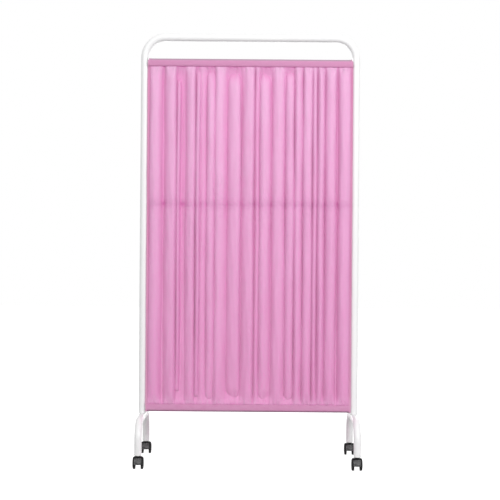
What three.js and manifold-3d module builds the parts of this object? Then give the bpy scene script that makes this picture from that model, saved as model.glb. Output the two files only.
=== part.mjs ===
// Ward privacy screen on castors: a bent tube frame on two arched feet, with a gathered curtain.
// Millimetres, +Z up, +X to the right for someone who faces the front, and the front looks to -Y.
import * as THREE from "three";
import { mergeGeometries, mergeVertices } from "three/addons/utils/BufferGeometryUtils.js";
import Module from "manifold-3d";

// Clearances that the whole screen shares
const clearance = 0.3;
const cutOverrun = 4;
const weldDistance = 0.001;

// Overall size, floor to the top of the frame and outside to outside of the posts
const screenHeight = 1800;
const screenWidth = 920;

// Frame: one tube bent to an upside-down U
const frameTubeDiameter = 32;
const frameTubeWall = 1.5;
const frameCornerRadius = 85;
const frameTubeSides = 20;
const frameBendSteps = 7;

// Feet: one arched tube under each post, with a spigot that the post slides over
const footTubeDiameter = 30;
const footTubeWall = 1.5;
const footSpread = 400;
const footCrownHeight = 190;
const footBendRadius = 80;
const footTubeSides = 16;
const footBendSteps = 5;
const spigotWall = 2;
const spigotReach = 90;

// The screw that holds each post on its spigot, entering from the rear
const screwShankDiameter = 6;
const screwHeadDiameter = 10.5;
const screwHeadHeight = 3.3;
const screwLength = 12;
const screwSocketAcross = 4;
const screwSocketDepth = 2;
const screwSocketSides = 6;
const screwAboveCrown = 45;
const screwSides = 12;

// Castors: twin wheels under a hood, trailing behind their stems
const wheelDiameter = 50;
const castorTrail = 18;
const wheelGap = 23;
const wheelWidth = 11.5;
const treadWidth = 9;
const treadThickness = 3;
const wheelRecessWidth = 4;
const wheelRimThickness = 3;
const wheelHubDiameter = 14;
const wheelFaceThickness = 2.5;
const wheelSides = 16;
const axleDiameter = 6;
const axleSides = 8;
const hoodWidth = 33;
const hoodGap = 0.5;
const hoodWall = 2;
const hoodCrown = 1.5;
const hoodRearAngle = 55;
const hoodFrontAngle = 190;
const hoodSides = 28;
const webThickness = 5;
const stemBossDiameter = 17;
const stemBossRise = 1;
const stemBossLength = 24;
const axleBossDiameter = 11;
const castorBossSides = 12;

// Castor stems and the sockets that hold them in the legs
const stemNeckDiameter = 8;
const stemNeckLength = 19;
const stemCollarDiameter = 14;
const stemCollarThickness = 1.5;
const stemShankDiameter = 11;
const stemShankLength = 30;
const stemChamfer = 1.5;
const stemSides = 12;
const socketFlangeThickness = 3;
const socketDepth = 34;
const socketSides = 16;

// Curtain rods, their end plugs and the brackets on the posts
const rodDiameter = 19;
const rodWall = 1.2;
const rodForward = 11;
const rodSides = 16;
const plugFlangeThickness = 2;
const plugDepth = 18;
const plugPinDiameter = 8;
const plugPinLength = 5;
const bracketThickness = 5.8;
const bracketAtPostThickness = 3;
const bracketWidth = 18;
const bracketRise = 16;
const bracketSides = 12;

// Middle rail, a tube of its own behind the curtain
const railDiameter = 19;
const railWall = 1.2;
const railHeight = 1085;
const railSides = 16;

// Curtain: a pocket round each rod and the gathered cloth between their stitch lines
const clothThickness = 1.2;
const pocketHeight = 32;
const topBarToCurtain = 107;
const crownToCurtain = 8;
const pocketSides = 14;
const pocketSeamHeight = 3.6;
const seamOverlap = 2;
const foldDepth = 30;
const foldForwardShare = 0.7667;
const gatherHeight = 70;
const gatherMiddleHeight = 28;
const edgeOverPost = 2.5;
const columnsPerFold = 4;
const gatherMiddleShare = 0.6;

// Where each fold meets the next, as shares of the cloth's width, and how deep each meeting is
const valleyPlaceShares = [
  0, 0.07, 0.14, 0.175, 0.23, 0.285, 0.335, 0.385, 0.455,
  0.53, 0.61, 0.67, 0.715, 0.76, 0.805, 0.865, 0.925, 1,
];
const valleyDepthShares = [
  0.6, 0.95, 0.8, 0.75, 1, 0.85, 0.7, 0.95, 0.9,
  1, 0.85, 0.95, 0.75, 0.9, 0.9, 0.95, 1, 0.6,
];

// Derived sizes
const frameTubeRadius = frameTubeDiameter / 2;
const footTubeRadius = footTubeDiameter / 2;
const rodRadius = rodDiameter / 2;
const railRadius = railDiameter / 2;
const wheelRadius = wheelDiameter / 2;
const axleRadius = axleDiameter / 2;
const postX = screenWidth / 2 - frameTubeRadius;
const postInnerX = postX - frameTubeRadius;
const legY = footSpread / 2;
const topBarZ = screenHeight - frameTubeRadius;
const crownTopZ = footCrownHeight + footTubeRadius;
const postBottomZ = crownTopZ + clearance;
const bracketInnerX = postInnerX - clearance - bracketAtPostThickness;
const pocketHalfLength = bracketInnerX - clearance;
const rodHalfLength = pocketHalfLength - plugFlangeThickness - clearance;
const pocketRadius = cornerRadius(rodRadius + clearance, pocketSides) + clothThickness;
const topRodZ = screenHeight - topBarToCurtain - pocketRadius;
const bottomRodZ = crownTopZ + crownToCurtain + pocketRadius;
const stitchDrop = pocketHeight - pocketRadius;
const clothRearY = foldDepth * (1 - foldForwardShare) + clothThickness / 2 - rodForward;
const railY = clothRearY + clearance + railRadius;
const treadCorner = cornerRadius(wheelRadius, wheelSides);
const hoodInner = cornerRadius(treadCorner + hoodGap, hoodSides);
const hoodOuter = hoodInner + hoodWall + hoodCrown;
const housingTop = wheelRadius + hoodOuter + stemBossRise;
const socketBottom = housingTop + 2 * clearance + stemCollarThickness;
const legBottomZ = socketBottom + socketFlangeThickness + clearance;
const frontReach = Math.max(legY + footTubeRadius, legY - castorTrail + hoodOuter);
const rearReach = Math.max(legY + castorTrail + wheelRadius, legY + footTubeRadius);

// The corner radius of a regular polygon whose flats lie on the given radius.
function cornerRadius(flatRadius, sides) {
  return flatRadius / Math.cos(Math.PI / sides);
}

// The radius on which the flats of a regular polygon lie.
function flatRadius(corner, sides) {
  return corner * Math.cos(Math.PI / sides);
}

// Points of a regular polygon with a corner on each axis where sides is a multiple of four.
function polygon(radius, sides) {
  const points = [];
  for (let i = 0; i < sides; i += 1) {
    const angle = (2 * Math.PI * i) / sides;
    points.push(new THREE.Vector2(radius * Math.cos(angle), radius * Math.sin(angle)));
  }
  return points;
}

// Points of an arc about (centreU, centreV), both ends included.
function arc(centreU, centreV, radius, from, to, steps) {
  const points = [];
  for (let i = 0; i <= steps; i += 1) {
    const angle = from + ((to - from) * i) / steps;
    const u = centreU + radius * Math.cos(angle);
    points.push(new THREE.Vector2(u, centreV + radius * Math.sin(angle)));
  }
  return points;
}

// A shape from an outline, with an optional hole.
function shapeOf(outline, hole) {
  const shape = new THREE.Shape(outline);
  if (hole) {
    shape.holes.push(new THREE.Path(hole));
  }
  return shape;
}

// A prism along +Z from a shape, starting at z = 0.
function prism(shape, length) {
  return new THREE.ExtrudeGeometry(shape, { depth: length, bevelEnabled: false });
}

// A prism along X, centred on x = 0, from a shape drawn in Y and Z.
function prismAlongX(shape, length) {
  const geometry = prism(shape, length);
  geometry.translate(0, 0, -length / 2);
  return turnToX(geometry);
}

// Turns a geometry so that its X, Y and Z become Y, Z and X.
function turnToX(geometry) {
  const yAxis = new THREE.Vector3(0, 1, 0);
  const zAxis = new THREE.Vector3(0, 0, 1);
  const xAxis = new THREE.Vector3(1, 0, 0);
  return geometry.applyMatrix4(new THREE.Matrix4().makeBasis(yAxis, zAxis, xAxis));
}

// A body turned about Z from a profile of radius and height.
function turnedAboutZ(profile, sides, turnSteps = 0) {
  const points = profile.map(([radius, height]) => new THREE.Vector2(radius, height));
  const start = (2 * Math.PI * turnSteps) / sides;
  const geometry = new THREE.LatheGeometry(points, sides, start, 2 * Math.PI);
  return geometry.rotateX(Math.PI / 2);
}

// A body turned about X from a profile of radius and place along X.
function turnedAboutX(profile, sides, turnSteps = 0) {
  return turnToX(turnedAboutZ(profile, sides, turnSteps));
}

// A solid cylinder along X centred on the origin.
function barAlongX(radius, length, sides) {
  return new THREE.CylinderGeometry(radius, radius, length, sides).rotateZ(Math.PI / 2);
}

// A solid cylinder along Z from one height to another.
function barAlongZ(radius, fromZ, toZ, sides) {
  const geometry = new THREE.CylinderGeometry(radius, radius, toZ - fromZ, sides);
  return geometry.rotateX(Math.PI / 2).translate(0, 0, (fromZ + toZ) / 2);
}

// A solid cylinder along Y from one place to another.
function barAlongY(radius, fromY, toY, sides) {
  const geometry = new THREE.CylinderGeometry(radius, radius, toY - fromY, sides);
  return geometry.translate(0, (fromY + toY) / 2, 0);
}

// A path of straight runs and round bends that has a station only where it turns.
class BentPath extends THREE.Curve {
  constructor(stations) {
    super();
    this.stations = stations;
  }
  station(share) {
    return this.stations[Math.round(share * (this.stations.length - 1))];
  }
  getPointAt(share) {
    return this.station(share).point.clone();
  }
  getTangentAt(share) {
    return this.station(share).tangent.clone();
  }
}

// The stations of a path through the corners, each inner corner rounded to the bend radius.
function bentStations(corners, bendRadius, bendSteps) {
  const last = corners.length - 1;
  const firstWay = corners[1].clone().sub(corners[0]).normalize();
  const lastWay = corners[last].clone().sub(corners[last - 1]).normalize();
  const stations = [{ point: corners[0], tangent: firstWay }];
  for (let i = 1; i < last; i += 1) {
    const arriving = corners[i].clone().sub(corners[i - 1]).normalize();
    const leaving = corners[i + 1].clone().sub(corners[i]).normalize();
    const turn = arriving.angleTo(leaving);
    const setback = bendRadius * Math.tan(turn / 2);
    const start = corners[i].clone().addScaledVector(arriving, -setback);
    const inward = leaving.clone().addScaledVector(arriving, -arriving.dot(leaving)).normalize();
    const centre = start.clone().addScaledVector(inward, bendRadius);
    for (let step = 0; step <= bendSteps; step += 1) {
      const angle = (turn * step) / bendSteps;
      const point = centre.clone().addScaledVector(inward, -bendRadius * Math.cos(angle));
      point.addScaledVector(arriving, bendRadius * Math.sin(angle));
      const tangent = arriving.clone().multiplyScalar(Math.cos(angle));
      tangent.addScaledVector(inward, Math.sin(angle));
      stations.push({ point, tangent });
    }
  }
  stations.push({ point: corners[last], tangent: lastWay });
  return stations;
}

// A section swept along a bent path.
function swept(shape, stations) {
  const extrudePath = new BentPath(stations);
  const steps = stations.length - 1;
  return new THREE.ExtrudeGeometry(shape, { steps, extrudePath, bevelEnabled: false });
}

const wasm = await Module();
wasm.setup();

// A closed geometry as a solid that can be cut and joined.
function solid(geometry) {
  const bare = geometry.clone();
  bare.deleteAttribute("normal");
  bare.deleteAttribute("uv");
  const welded = mergeVertices(bare, weldDistance);
  const corners = welded.index.array;
  const kept = [];
  for (let i = 0; i < corners.length; i += 3) {
    const [a, b, c] = [corners[i], corners[i + 1], corners[i + 2]];
    if (a !== b && b !== c && c !== a) {
      kept.push(a, b, c);
    }
  }
  const vertProperties = new Float32Array(welded.attributes.position.array);
  const triVerts = new Uint32Array(kept);
  return new wasm.Manifold(new wasm.Mesh({ numProp: 3, vertProperties, triVerts }));
}

// A cut or joined solid as a geometry with flat faces.
function geometryOf(manifold) {
  const mesh = manifold.getMesh();
  const indexed = new THREE.BufferGeometry();
  indexed.setAttribute("position", new THREE.BufferAttribute(mesh.vertProperties, 3));
  indexed.setIndex(new THREE.BufferAttribute(mesh.triVerts, 1));
  const geometry = indexed.toNonIndexed();
  geometry.computeVertexNormals();
  return geometry;
}

// Finishes, one for each material of the screen
function whitePaint() {
  return new THREE.MeshStandardMaterial({ color: 0xf4f4f5, roughness: 0.35, metalness: 0.05 });
}

function plainSteel() {
  return new THREE.MeshStandardMaterial({ color: 0xb4b6b8, roughness: 0.35, metalness: 0.9 });
}

function blackNylon() {
  return new THREE.MeshStandardMaterial({ color: 0x232326, roughness: 0.5, metalness: 0 });
}

function treadRubber() {
  return new THREE.MeshStandardMaterial({ color: 0x121213, roughness: 0.7, metalness: 0 });
}

function whitePlastic() {
  return new THREE.MeshStandardMaterial({ color: 0xe4e4e2, roughness: 0.55, metalness: 0 });
}

function pinkCloth() {
  return new THREE.MeshStandardMaterial({ color: 0xe293c5, roughness: 0.9, metalness: 0 });
}

// Adds one named sub-part to a group at a place in it.
function place(group, name, geometry, material, x = 0, y = 0, z = 0) {
  const mesh = new THREE.Mesh(geometry, material);
  mesh.name = name;
  mesh.position.set(x, y, z);
  group.add(mesh);
  return mesh;
}

// A cutter that clears a post standing at x = 0, longer than the given height range.
function postCutter(fromZ, toZ) {
  const radius = cornerRadius(frameTubeRadius + clearance, frameTubeSides);
  return solid(barAlongZ(radius, fromZ - cutOverrun, toZ + cutOverrun, frameTubeSides));
}

// The hole for a foot screw through the rear wall of a tube that stands at the given x.
function screwHole(x, z) {
  const radius = cornerRadius(screwShankDiameter / 2 + clearance, screwSides);
  const hole = barAlongY(radius, 0, frameTubeRadius + cutOverrun, screwSides);
  return solid(hole.translate(x, 0, z));
}

// The upside-down U of the frame, with a screw hole low in each post.
function frameTube() {
  const corners = [
    new THREE.Vector3(-postX, 0, postBottomZ),
    new THREE.Vector3(-postX, 0, topBarZ),
    new THREE.Vector3(postX, 0, topBarZ),
    new THREE.Vector3(postX, 0, postBottomZ),
  ];
  const outline = polygon(frameTubeRadius, frameTubeSides);
  const bore = polygon(frameTubeRadius - frameTubeWall, frameTubeSides);
  const stations = bentStations(corners, frameCornerRadius, frameBendSteps);
  const tube = solid(swept(shapeOf(outline, bore), stations));
  const screwZ = crownTopZ + screwAboveCrown;
  return geometryOf(tube.subtract(screwHole(-postX, screwZ)).subtract(screwHole(postX, screwZ)));
}

// One arched foot with its spigot, drawn about its post's axis.
function foot() {
  const corners = [
    new THREE.Vector3(0, -legY, legBottomZ),
    new THREE.Vector3(0, -legY, footCrownHeight),
    new THREE.Vector3(0, legY, footCrownHeight),
    new THREE.Vector3(0, legY, legBottomZ),
  ];
  const stations = bentStations(corners, footBendRadius, footBendSteps);
  const outline = polygon(footTubeRadius, footTubeSides);
  const bore = polygon(footTubeRadius - footTubeWall, footTubeSides);
  const midWall = polygon(footTubeRadius - footTubeWall / 2, footTubeSides);
  const arch = solid(swept(shapeOf(outline, bore), stations));
  const archCore = solid(swept(shapeOf(midWall), stations));
  const postBore = flatRadius(frameTubeRadius - frameTubeWall, frameTubeSides);
  const spigotRadius = postBore - clearance;
  const spigotOutline = polygon(spigotRadius, frameTubeSides);
  const spigotBore = polygon(spigotRadius - spigotWall, frameTubeSides);
  const rise = footTubeRadius + spigotReach;
  const ring = prism(shapeOf(spigotOutline, spigotBore), rise).translate(0, 0, footCrownHeight);
  const spigot = solid(ring).subtract(archCore);
  return geometryOf(arch.add(spigot).subtract(screwHole(0, crownTopZ + screwAboveCrown)));
}

// A button-head screw along Y, its head's seat at y = 0 and its shank running to -Y.
function footScrew() {
  const headRadius = screwHeadDiameter / 2;
  const shankRadius = screwShankDiameter / 2;
  const edge = screwHeadHeight / 3;
  const profile = [
    [0, -screwLength],
    [shankRadius, -screwLength],
    [shankRadius, 0],
    [headRadius, 0],
    [headRadius, edge],
    [headRadius * Math.SQRT1_2, screwHeadHeight - edge / 2],
    [0, screwHeadHeight],
  ];
  const body = solid(turnedAboutZ(profile, screwSides));
  const socketRadius = screwSocketAcross / 2;
  const top = screwHeadHeight + cutOverrun;
  const floor = screwHeadHeight - screwSocketDepth;
  const socket = solid(barAlongZ(socketRadius, floor, top, screwSocketSides));
  return geometryOf(body.subtract(socket)).rotateX(-Math.PI / 2);
}

// The plastic socket in a leg's end, drawn from the leg's axis with the floor at z = 0.
function legSocket() {
  const bore = cornerRadius(stemShankDiameter / 2 + clearance, stemSides);
  const legBore = flatRadius(footTubeRadius - footTubeWall, footTubeSides);
  const bodyRadius = legBore - clearance;
  const flangeTop = socketBottom + socketFlangeThickness;
  const top = flangeTop + socketDepth;
  const profile = [
    [bore, socketBottom],
    [footTubeRadius, socketBottom],
    [footTubeRadius, flangeTop],
    [bodyRadius, flangeTop],
    [bodyRadius, top],
    [bore, top],
    [bore, socketBottom],
  ];
  return turnedAboutZ(profile, socketSides);
}

// The steel stem that the castor swivels on.
function castorStem() {
  const collarBottom = housingTop + clearance;
  const collarTop = collarBottom + stemCollarThickness;
  const neckRadius = stemNeckDiameter / 2;
  const shankRadius = stemShankDiameter / 2;
  const top = collarTop + clearance + stemShankLength;
  const profile = [
    [0, housingTop - stemNeckLength],
    [neckRadius, housingTop - stemNeckLength],
    [neckRadius, collarBottom],
    [stemCollarDiameter / 2, collarBottom],
    [stemCollarDiameter / 2, collarTop],
    [shankRadius, collarTop],
    [shankRadius, top - stemChamfer],
    [shankRadius - stemChamfer, top],
    [0, top],
  ];
  return turnedAboutZ(profile, stemSides);
}

// The part of a circle about the axle that the hood and the web cover, drawn in Y and Z.
function hoodSector(radius) {
  const from = THREE.MathUtils.degToRad(hoodRearAngle);
  const to = THREE.MathUtils.degToRad(hoodFrontAngle);
  const steps = Math.round((hoodSides * (to - from)) / (2 * Math.PI));
  return shapeOf([new THREE.Vector2(0, 0), ...arc(0, 0, radius, from, to, steps)]);
}

// The crowned shell over the wheels, cut to its sector.
function hoodShell() {
  const edge = hoodWidth / 2;
  const rim = hoodInner + hoodWall;
  const profile = [
    [hoodInner, -edge],
    [rim - hoodCrown, -edge],
    [rim, -edge * Math.cos(Math.PI / 6)],
    [rim + hoodCrown * Math.sin(Math.PI / 4), -edge / 2],
    [hoodOuter, 0],
    [rim + hoodCrown * Math.sin(Math.PI / 4), edge / 2],
    [rim, edge * Math.cos(Math.PI / 6)],
    [rim - hoodCrown, edge],
    [hoodInner, edge],
    [hoodInner, -edge],
  ];
  const ring = solid(turnedAboutX(profile, hoodSides));
  const sector = prismAlongX(hoodSector(hoodOuter + cutOverrun), hoodWidth + cutOverrun);
  return ring.intersect(solid(sector));
}

// The castor's housing: hood, web, stem boss and axle boss, drawn about the stem's axis.
function castorHousing() {
  const bossWidth = wheelGap - 2 * clearance;
  const web = solid(prismAlongX(hoodSector(hoodInner + hoodWall / 2), webThickness));
  const axleBoss = solid(barAlongX(axleBossDiameter / 2, bossWidth, castorBossSides));
  const bossRadius = stemBossDiameter / 2;
  const bossFrom = housingTop - stemBossLength;
  const stemBoss = solid(barAlongZ(bossRadius, bossFrom, housingTop, castorBossSides));
  const stemBore = cornerRadius(stemNeckDiameter / 2 + clearance, stemSides);
  const boreFrom = housingTop - stemNeckLength - 2 * clearance;
  const boreTo = housingTop + cutOverrun;
  const neckHole = solid(barAlongZ(stemBore, boreFrom, boreTo, stemSides));
  const axleBore = cornerRadius(axleRadius + clearance, axleSides);
  const axleHole = solid(barAlongX(axleBore, hoodWidth + cutOverrun, axleSides));
  const body = hoodShell().add(web).add(axleBoss).subtract(axleHole);
  const placed = body.translate([0, castorTrail, wheelRadius]);
  return geometryOf(placed.add(stemBoss).subtract(neckHole));
}

// The steel axle, its ends held short of the wheels' closed faces.
function castorAxle() {
  const length = wheelGap + 2 * (wheelWidth - wheelFaceThickness - clearance);
  return barAlongX(axleRadius, length, axleSides);
}

// A wheel drawn from the gap's middle, with its domed face to +X, hub and recessed inner side.
function castorWheel() {
  const inner = wheelGap / 2;
  const face = inner + wheelWidth;
  const rim = wheelRadius - treadThickness;
  const bore = cornerRadius(axleRadius + clearance, axleSides);
  const hub = wheelHubDiameter / 2;
  const recess = inner + wheelRecessWidth;
  const rimInner = rim - wheelRimThickness;
  const shoulder = inner + treadWidth;
  const dome = face - shoulder;
  const profile = [
    [bore, inner],
    [hub, inner],
    [hub, recess],
    [rimInner, recess],
    [rimInner, inner],
    [rim, inner],
    [rim, shoulder],
    [rim * Math.cos(Math.PI / 6), shoulder + dome / 2],
    [0, face],
    [0, face - wheelFaceThickness],
    [bore, face - wheelFaceThickness],
    [bore, inner],
  ];
  return turnedAboutX(profile, wheelSides, 1 / 2);
}

// The rubber tread round a wheel, its lowest flat on the floor.
function castorTread() {
  const bore = cornerRadius(wheelRadius - treadThickness + clearance, wheelSides);
  const from = wheelGap / 2 + clearance / 2;
  const to = wheelGap / 2 + treadWidth - clearance / 2;
  const profile = [
    [bore, from],
    [treadCorner, from],
    [treadCorner, to],
    [bore, to],
    [bore, from],
  ];
  return turnedAboutX(profile, wheelSides, 1 / 2);
}

// One castor with its socket, under the leg at the given place.
function addCastor(screen, label, x, y) {
  const castor = new THREE.Group();
  castor.position.set(x, y, 0);
  screen.add(castor);
  place(castor, `${label}_leg_socket`, legSocket(), whitePlastic());
  place(castor, `${label}_castor_stem`, castorStem(), plainSteel());
  place(castor, `${label}_castor_housing`, castorHousing(), blackNylon());
  place(castor, `${label}_castor_axle`, castorAxle(), plainSteel(), 0, castorTrail, wheelRadius);
  for (const side of ["left", "right"]) {
    const pair = new THREE.Group();
    pair.position.set(0, castorTrail, wheelRadius);
    pair.rotation.z = side === "left" ? Math.PI : 0;
    castor.add(pair);
    place(pair, `${label}_castor_${side}_wheel`, castorWheel(), blackNylon());
    place(pair, `${label}_castor_${side}_tread`, castorTread(), treadRubber());
  }
}

// A thin tube along X, centred on x = 0.
function tubeAlongX(radius, wall, length, sides) {
  return prismAlongX(shapeOf(polygon(radius, sides), polygon(radius - wall, sides)), length);
}

// The middle rail, its ends shaped to the posts.
function middleRail() {
  const rail = solid(tubeAlongX(railRadius, railWall, 2 * postX, railSides));
  const rightPost = postCutter(-railRadius, railRadius).translate([postX, -railY, 0]);
  const leftPost = postCutter(-railRadius, railRadius).translate([-postX, -railY, 0]);
  return geometryOf(rail.subtract(rightPost).subtract(leftPost));
}

// A rod's end plug, drawn from the rod's end with its pin to +X.
function rodPlug() {
  const bodyRadius = flatRadius(rodRadius - rodWall, rodSides) - clearance;
  const flange = clearance + plugFlangeThickness;
  const pinRadius = plugPinDiameter / 2;
  const profile = [
    [0, -plugDepth],
    [bodyRadius, -plugDepth],
    [bodyRadius, clearance],
    [rodRadius, clearance],
    [rodRadius, flange],
    [pinRadius, flange],
    [pinRadius, flange + plugPinLength],
    [0, flange + plugPinLength],
  ];
  return turnedAboutX(profile, rodSides);
}

// A slotted bracket at the right-hand post, drawn about its rod's axis with the slot open upwards.
function rodBracket() {
  const half = bracketWidth / 2;
  const slot = cornerRadius(plugPinDiameter / 2 + clearance, bracketSides);
  const outline = [
    new THREE.Vector2(-slot, bracketRise),
    new THREE.Vector2(-half, bracketRise),
    ...arc(0, 0, half, Math.PI, 2 * Math.PI, bracketSides / 2),
    new THREE.Vector2(half, bracketRise),
    new THREE.Vector2(slot, bracketRise),
    ...arc(0, 0, slot, 2 * Math.PI, Math.PI, bracketSides / 2),
  ];
  const plate = solid(prismAlongX(shapeOf(outline), bracketThickness));
  const placed = plate.translate([bracketInnerX + bracketThickness / 2, 0, 0]);
  return geometryOf(placed.subtract(postCutter(-half, bracketRise).translate([postX, rodForward, 0])));
}

// One rod with its plugs and brackets. The bottom brackets open downwards, against the cloth's pull.
function addRod(screen, label, z, opensUp) {
  const rod = tubeAlongX(rodRadius, rodWall, 2 * rodHalfLength, rodSides);
  place(screen, `curtain_rod_${label}`, rod, whitePaint(), 0, -rodForward, z);
  for (const side of ["left", "right"]) {
    const facing = side === "left" ? -1 : 1;
    const plug = place(screen, `rod_plug_${label}_${side}`, rodPlug(), whitePlastic());
    plug.position.set(facing * rodHalfLength, -rodForward, z);
    plug.rotation.z = side === "left" ? Math.PI : 0;
    const bracket = rodBracket();
    bracket.scale(facing, 1, opensUp ? 1 : -1);
    if (facing < 0 === opensUp) {
      reverseFaces(bracket);
    }
    place(screen, `rod_bracket_${label}_${side}`, bracket, whitePaint(), 0, -rodForward, z);
  }
}

// Turns every face of a mirrored geometry round, so that it faces out again.
function reverseFaces(geometry) {
  const position = geometry.attributes.position;
  const first = new THREE.Vector3();
  const last = new THREE.Vector3();
  for (let i = 0; i < position.count; i += 3) {
    first.fromBufferAttribute(position, i);
    last.fromBufferAttribute(position, i + 2);
    position.setXYZ(i, last.x, last.y, last.z);
    position.setXYZ(i + 2, first.x, first.y, first.z);
  }
  geometry.computeVertexNormals();
}

// The outline of a pocket: round the rod and drawn together at the stitch line below it.
function pocketOutline(radius, drop, halfSeam) {
  const lean = Math.acos(radius / drop);
  const from = lean - Math.PI / 2;
  const to = (3 * Math.PI) / 2 - lean;
  const around = arc(0, 0, radius, from, to, pocketSides - 2);
  if (halfSeam === 0) {
    return [new THREE.Vector2(0, -drop), ...around];
  }
  return [new THREE.Vector2(halfSeam, -drop), ...around, new THREE.Vector2(-halfSeam, -drop)];
}

// A pocket round a rod at the origin, open at both ends, with its seam below.
function rodPocket() {
  const outline = pocketOutline(pocketRadius, stitchDrop, clothThickness);
  const inside = pocketOutline(pocketRadius - clothThickness, stitchDrop - pocketSeamHeight, 0);
  return solid(prismAlongX(shapeOf(outline, inside), 2 * pocketHalfLength));
}

// How far the cloth is gathered at a height above or below its stitch lines, from 0 to 1.
function gatherShare(rowHeight, clothHeight) {
  const fromSeam = Math.min(rowHeight, clothHeight - rowHeight);
  if (fromSeam <= gatherMiddleHeight) {
    return (gatherMiddleShare * Math.max(fromSeam, 0)) / gatherMiddleHeight;
  }
  const rest = (fromSeam - gatherMiddleHeight) / (gatherHeight - gatherMiddleHeight);
  return Math.min(1, gatherMiddleShare + (1 - gatherMiddleShare) * rest);
}

// The cloth between the two stitch lines: its folds lie upright and run flat into the seams.
function gatheredCloth(clothHeight) {
  const folds = valleyPlaceShares.length - 1;
  const rowHeights = [
    -seamOverlap,
    gatherMiddleHeight,
    gatherHeight,
    clothHeight - gatherHeight,
    clothHeight - gatherMiddleHeight,
    clothHeight + seamOverlap,
  ];
  const columns = folds * columnsPerFold;
  const rows = rowHeights.length - 1;
  const sheet = new THREE.PlaneGeometry(columns, rows, columns, rows);
  const position = sheet.attributes.position;
  for (let i = 0; i < position.count; i += 1) {
    const column = Math.round(position.getX(i) + columns / 2);
    const row = Math.round(position.getY(i) + rows / 2);
    const fold = Math.min(Math.floor(column / columnsPerFold), folds - 1);
    const within = column / columnsPerFold - fold;
    const widthShare = THREE.MathUtils.lerp(valleyPlaceShares[fold], valleyPlaceShares[fold + 1], within);
    const valley = THREE.MathUtils.lerp(valleyDepthShares[fold], valleyDepthShares[fold + 1], within);
    const gathered = gatherShare(rowHeights[row], clothHeight);
    const halfWidth = THREE.MathUtils.lerp(pocketHalfLength, postInnerX + edgeOverPost, gathered);
    const depth = (1 - Math.sin(Math.PI * within)) * valley - foldForwardShare;
    position.setXYZ(i, (2 * widthShare - 1) * halfWidth, foldDepth * depth * gathered, rowHeights[row]);
  }
  return solid(thickened(sheet, columns, rows, clothThickness));
}

// The numbers of the points round a sheet's edge, anticlockwise from its lower left corner.
function edgeWalk(columns, rows) {
  const numberAt = (column, row) => row * (columns + 1) + column;
  const walk = [];
  for (let column = 0; column < columns; column += 1) {
    walk.push(numberAt(column, rows));
  }
  for (let row = rows; row > 0; row -= 1) {
    walk.push(numberAt(columns, row));
  }
  for (let column = columns; column > 0; column -= 1) {
    walk.push(numberAt(column, 0));
  }
  for (let row = 0; row < rows; row += 1) {
    walk.push(numberAt(0, row));
  }
  return walk;
}

// A sheet that faces -Y, given its thickness. The back has the same triangles as the front, so that
// the two never cross where the sheet is steep.
function thickened(sheet, columns, rows, thickness) {
  const count = sheet.attributes.position.count;
  const front = sheet.index.array;
  const faces = [...front];
  for (let i = 0; i < front.length; i += 3) {
    faces.push(front[i + 2] + count, front[i + 1] + count, front[i] + count);
  }
  const edge = edgeWalk(columns, rows);
  edge.forEach((corner, i) => {
    const next = edge[(i + 1) % edge.length];
    faces.push(next, corner, corner + count);
    faces.push(next, corner + count, next + count);
  });
  const frontSide = sheet.clone().translate(0, -thickness / 2, 0);
  const backSide = sheet.clone().translate(0, thickness / 2, 0);
  const body = mergeGeometries([frontSide, backSide]);
  body.setIndex(faces);
  return body;
}

// The whole curtain, drawn in the screen's own frame.
function curtain() {
  const lowSeamZ = bottomRodZ + stitchDrop;
  const clothHeight = topRodZ - stitchDrop - lowSeamZ;
  const cloth = gatheredCloth(clothHeight).translate([0, 0, lowSeamZ]);
  const topPocket = rodPocket().translate([0, 0, topRodZ]);
  const bottomPocket = rodPocket().rotate([180, 0, 0]).translate([0, 0, bottomRodZ]);
  return geometryOf(cloth.add(topPocket).add(bottomPocket).translate([0, -rodForward, 0]));
}

// The screen, moved along Y so that the middle of its footprint is the origin
const screen = new THREE.Group();
screen.position.y = (frontReach - rearReach) / 2;
place(screen, "frame_tube", frameTube(), whitePaint());
place(screen, "middle_rail", middleRail(), whitePaint(), 0, railY, railHeight);
for (const side of ["left", "right"]) {
  const x = side === "left" ? -postX : postX;
  place(screen, `foot_${side}`, foot(), whitePaint(), x);
  const screwY = frameTubeRadius + clearance;
  place(screen, `foot_screw_${side}`, footScrew(), plainSteel(), x, screwY, crownTopZ + screwAboveCrown);
  addCastor(screen, `front_${side}`, x, -legY);
  addCastor(screen, `rear_${side}`, x, legY);
}
addRod(screen, "top", topRodZ, true);
addRod(screen, "bottom", bottomRodZ, false);
place(screen, "curtain", curtain(), pinkCloth());

const part = new THREE.Group();
part.add(screen);

export default part;
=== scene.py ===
import math
import random

import bmesh
import bpy
import numpy as np
from mathutils import Matrix, Vector


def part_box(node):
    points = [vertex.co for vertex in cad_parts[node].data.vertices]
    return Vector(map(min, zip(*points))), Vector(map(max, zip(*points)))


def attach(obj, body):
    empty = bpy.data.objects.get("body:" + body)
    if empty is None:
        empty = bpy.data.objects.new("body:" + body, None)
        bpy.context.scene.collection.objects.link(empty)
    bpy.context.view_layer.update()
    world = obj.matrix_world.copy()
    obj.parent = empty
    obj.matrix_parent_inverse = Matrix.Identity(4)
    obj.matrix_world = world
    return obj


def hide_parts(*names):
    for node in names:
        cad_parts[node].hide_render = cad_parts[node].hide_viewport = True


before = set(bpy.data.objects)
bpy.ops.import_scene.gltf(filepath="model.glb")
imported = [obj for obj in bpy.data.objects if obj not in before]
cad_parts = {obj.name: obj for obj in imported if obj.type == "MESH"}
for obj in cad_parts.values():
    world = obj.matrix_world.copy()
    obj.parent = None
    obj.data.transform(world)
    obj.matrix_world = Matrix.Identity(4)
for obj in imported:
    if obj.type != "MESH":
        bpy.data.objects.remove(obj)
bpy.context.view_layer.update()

# Camera, in metres, degrees and lens millimetres
CAMERA_DISTANCE = 5.28
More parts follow.
